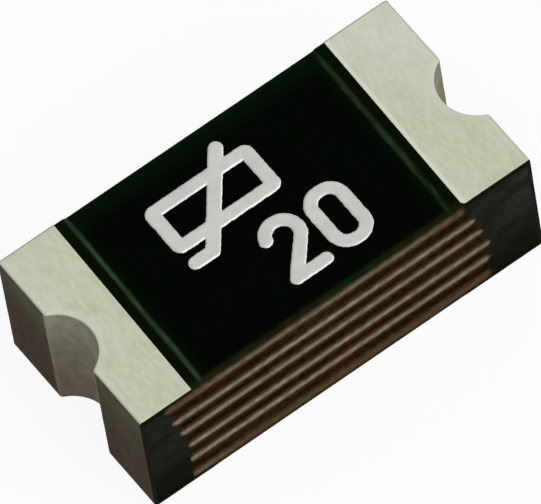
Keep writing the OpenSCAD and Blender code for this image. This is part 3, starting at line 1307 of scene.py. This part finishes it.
def build_camera():
    """The camera at the photograph's angle."""
    data = bpy.data.cameras.new("Camera")
    data.lens = CAMERA_LENS
    data.clip_start = 0.1 * CAMERA_DISTANCE
    data.clip_end = 100 * CAMERA_DISTANCE
    camera = link_object("Camera", data)
    tilt = math.cos(CAMERA_ELEVATION)
    back = Vector((
        math.sin(CAMERA_AZIMUTH) * tilt,
        -math.cos(CAMERA_AZIMUTH) * tilt,
        math.sin(CAMERA_ELEVATION),
    ))
    level = Vector((math.cos(CAMERA_AZIMUTH), math.sin(CAMERA_AZIMUTH), 0.0))
    right = Matrix.Rotation(CAMERA_ROLL, 3, back) @ level
    up = back.cross(right)
    turn = Matrix((right, up, back)).transposed().to_4x4()
    camera.matrix_world = Matrix.Translation(CAMERA_TARGET + CAMERA_DISTANCE * back) @ turn
    bpy.context.scene.camera = camera


def add_softbox(name, level, direction, distance, size):
    """A square softbox aimed at the chip, giving that level on a face turned to it."""
    data = bpy.data.lights.new(name, "AREA")
    data.size = size
    data.energy = level * (math.pi * distance) ** 2
    lamp = link_object(name, data)
    away = Vector(direction).normalized()
    lamp.location = away * distance
    lamp.rotation_mode = "QUATERNION"
    lamp.rotation_quaternion = away.to_track_quat("Z", "Y")


def seen_rays(tree):
    """1 for rays from the camera, mirrors and glass, 0 for the rest."""
    camera = tree.add("ShaderNodeLightPath", None, None, "Is Camera Ray")
    return camera.most(camera.also("Is Glossy Ray")).most(camera.also("Is Transmission Ray"))


def build_world(settings):
    """An even grey light that looks white."""
    world = bpy.data.worlds.new("Studio")
    bpy.context.scene.world = world
    tree = Tree(emptied(world))
    strength = seen_rays(tree) * (1.0 - settings.fill) + settings.fill
    sky = tree.add("ShaderNodeBackground", None, {"Color": WHITE, "Strength": strength})
    tree.add("ShaderNodeOutputWorld", None, {"Surface": sky})


def build_floor(settings):
    """A plain pale floor that keeps the chip's shadow."""
    signs = ((-1, -1), (1, -1), (1, 1), (-1, 1))
    corners = [(x * FLOOR_HALF, y * FLOOR_HALF, 0.0) for x, y in signs]
    floor = new_object("floor", corners, [], [(0, 1, 2, 3)])
    material = bpy.data.materials.new("Pale floor")
    tree = Tree(emptied(material))
    matt = tree.add("ShaderNodeBsdfDiffuse", None, {"Color": linear(settings.floor)})
    white = tree.add("ShaderNodeEmission", None, {"Color": WHITE, "Strength": 1.0})
    seen = seen_rays(tree) * settings.lift
    surface = tree.add("ShaderNodeMixShader", None, {0: seen, 1: matt, 2: white})
    tree.add("ShaderNodeOutputMaterial", None, {"Surface": surface})
    floor.data.materials.append(material)


def build_stage(settings):
    """Camera, light and floor."""
    bpy.context.scene.view_settings.view_transform = "Standard"
    build_camera()
    build_world(settings)
    build_floor(settings)
    add_softbox("Key softbox", settings.key, **KEY_SOFTBOX)
    add_softbox("Overhead softbox", settings.overhead, **OVERHEAD_SOFTBOX)


# Operators

class FUSE_OT_terminals(bpy.types.Operator):
    """Build the tin finish of both terminals"""

    bl_idname = "fuse.terminals"
    bl_label = "Terminals"

    def execute(self, context):
        build_terminals(context.scene.fuse_terminals)
        return {"FINISHED"}


class FUSE_OT_masks(bpy.types.Operator):
    """Build the solder mask on both faces"""

    bl_idname = "fuse.masks"
    bl_label = "Solder masks"

    def execute(self, context):
        build_masks(context.scene.fuse_mask)
        return {"FINISHED"}


class FUSE_OT_foils(bpy.types.Operator):
    """Build the six electrode foils"""

    bl_idname = "fuse.foils"
    bl_label = "Electrode foils"

    def execute(self, context):
        build_foils(context.scene.fuse_laminate)
        return {"FINISHED"}


class FUSE_OT_sheets(bpy.types.Operator):
    """Finish the polymer, resin and copper that stay as they are"""

    bl_idname = "fuse.sheets"
    bl_label = "Sheets and copper"

    def execute(self, context):
        finish_sheets(context.scene.fuse_laminate)
        return {"FINISHED"}


class FUSE_OT_print(bpy.types.Operator):
    """Print the mask"""

    bl_idname = "fuse.print_marks"
    bl_label = "Print"

    def execute(self, context):
        build_print(context.scene.fuse_print)
        return {"FINISHED"}


class FUSE_OT_stage(bpy.types.Operator):
    """Set the camera, the light and the floor"""

    bl_idname = "fuse.stage"
    bl_label = "Stage"

    def execute(self, context):
        build_stage(context.scene.fuse_stage)
        return {"FINISHED"}


OPERATORS = (
    FUSE_OT_terminals,
    FUSE_OT_masks,
    FUSE_OT_foils,
    FUSE_OT_sheets,
    FUSE_OT_print,
    FUSE_OT_stage,
)
SETTINGS = {
    "fuse_terminals": TerminalSettings,
    "fuse_mask": MaskSettings,
    "fuse_laminate": LaminateSettings,
    "fuse_print": PrintSettings,
    "fuse_stage": StageSettings,
}


class FUSE_PT_panel(bpy.types.Panel):
    """Lists the operators and their settings"""

    bl_idname = "FUSE_PT_panel"
    bl_label = "Resettable fuse"
    bl_space_type = "VIEW_3D"
    bl_region_type = "UI"
    bl_category = "Fuse"

    def draw(self, context):
        for operator in OPERATORS:
            self.layout.operator(operator.bl_idname)
        for name, group in SETTINGS.items():
            box = self.layout.box()
            for key in group.__annotations__:
                box.prop(getattr(context.scene, name), key)


def register():
    for name, group in SETTINGS.items():
        bpy.utils.register_class(group)
        setattr(bpy.types.Scene, name, PointerProperty(type=group))
    for cls in (*OPERATORS, FUSE_PT_panel):
        bpy.utils.register_class(cls)


def unregister():
    for cls in (FUSE_PT_panel, *reversed(OPERATORS)):
        bpy.utils.unregister_class(cls)
    for name, group in SETTINGS.items():
        delattr(bpy.types.Scene, name)
        bpy.utils.unregister_class(group)


def main():
    register()
    bpy.ops.fuse.terminals()
    bpy.ops.fuse.masks()
    bpy.ops.fuse.foils()
    bpy.ops.fuse.sheets()
    bpy.ops.fuse.print_marks()
    bpy.ops.fuse.stage()


if __name__ == "__main__":
    main()
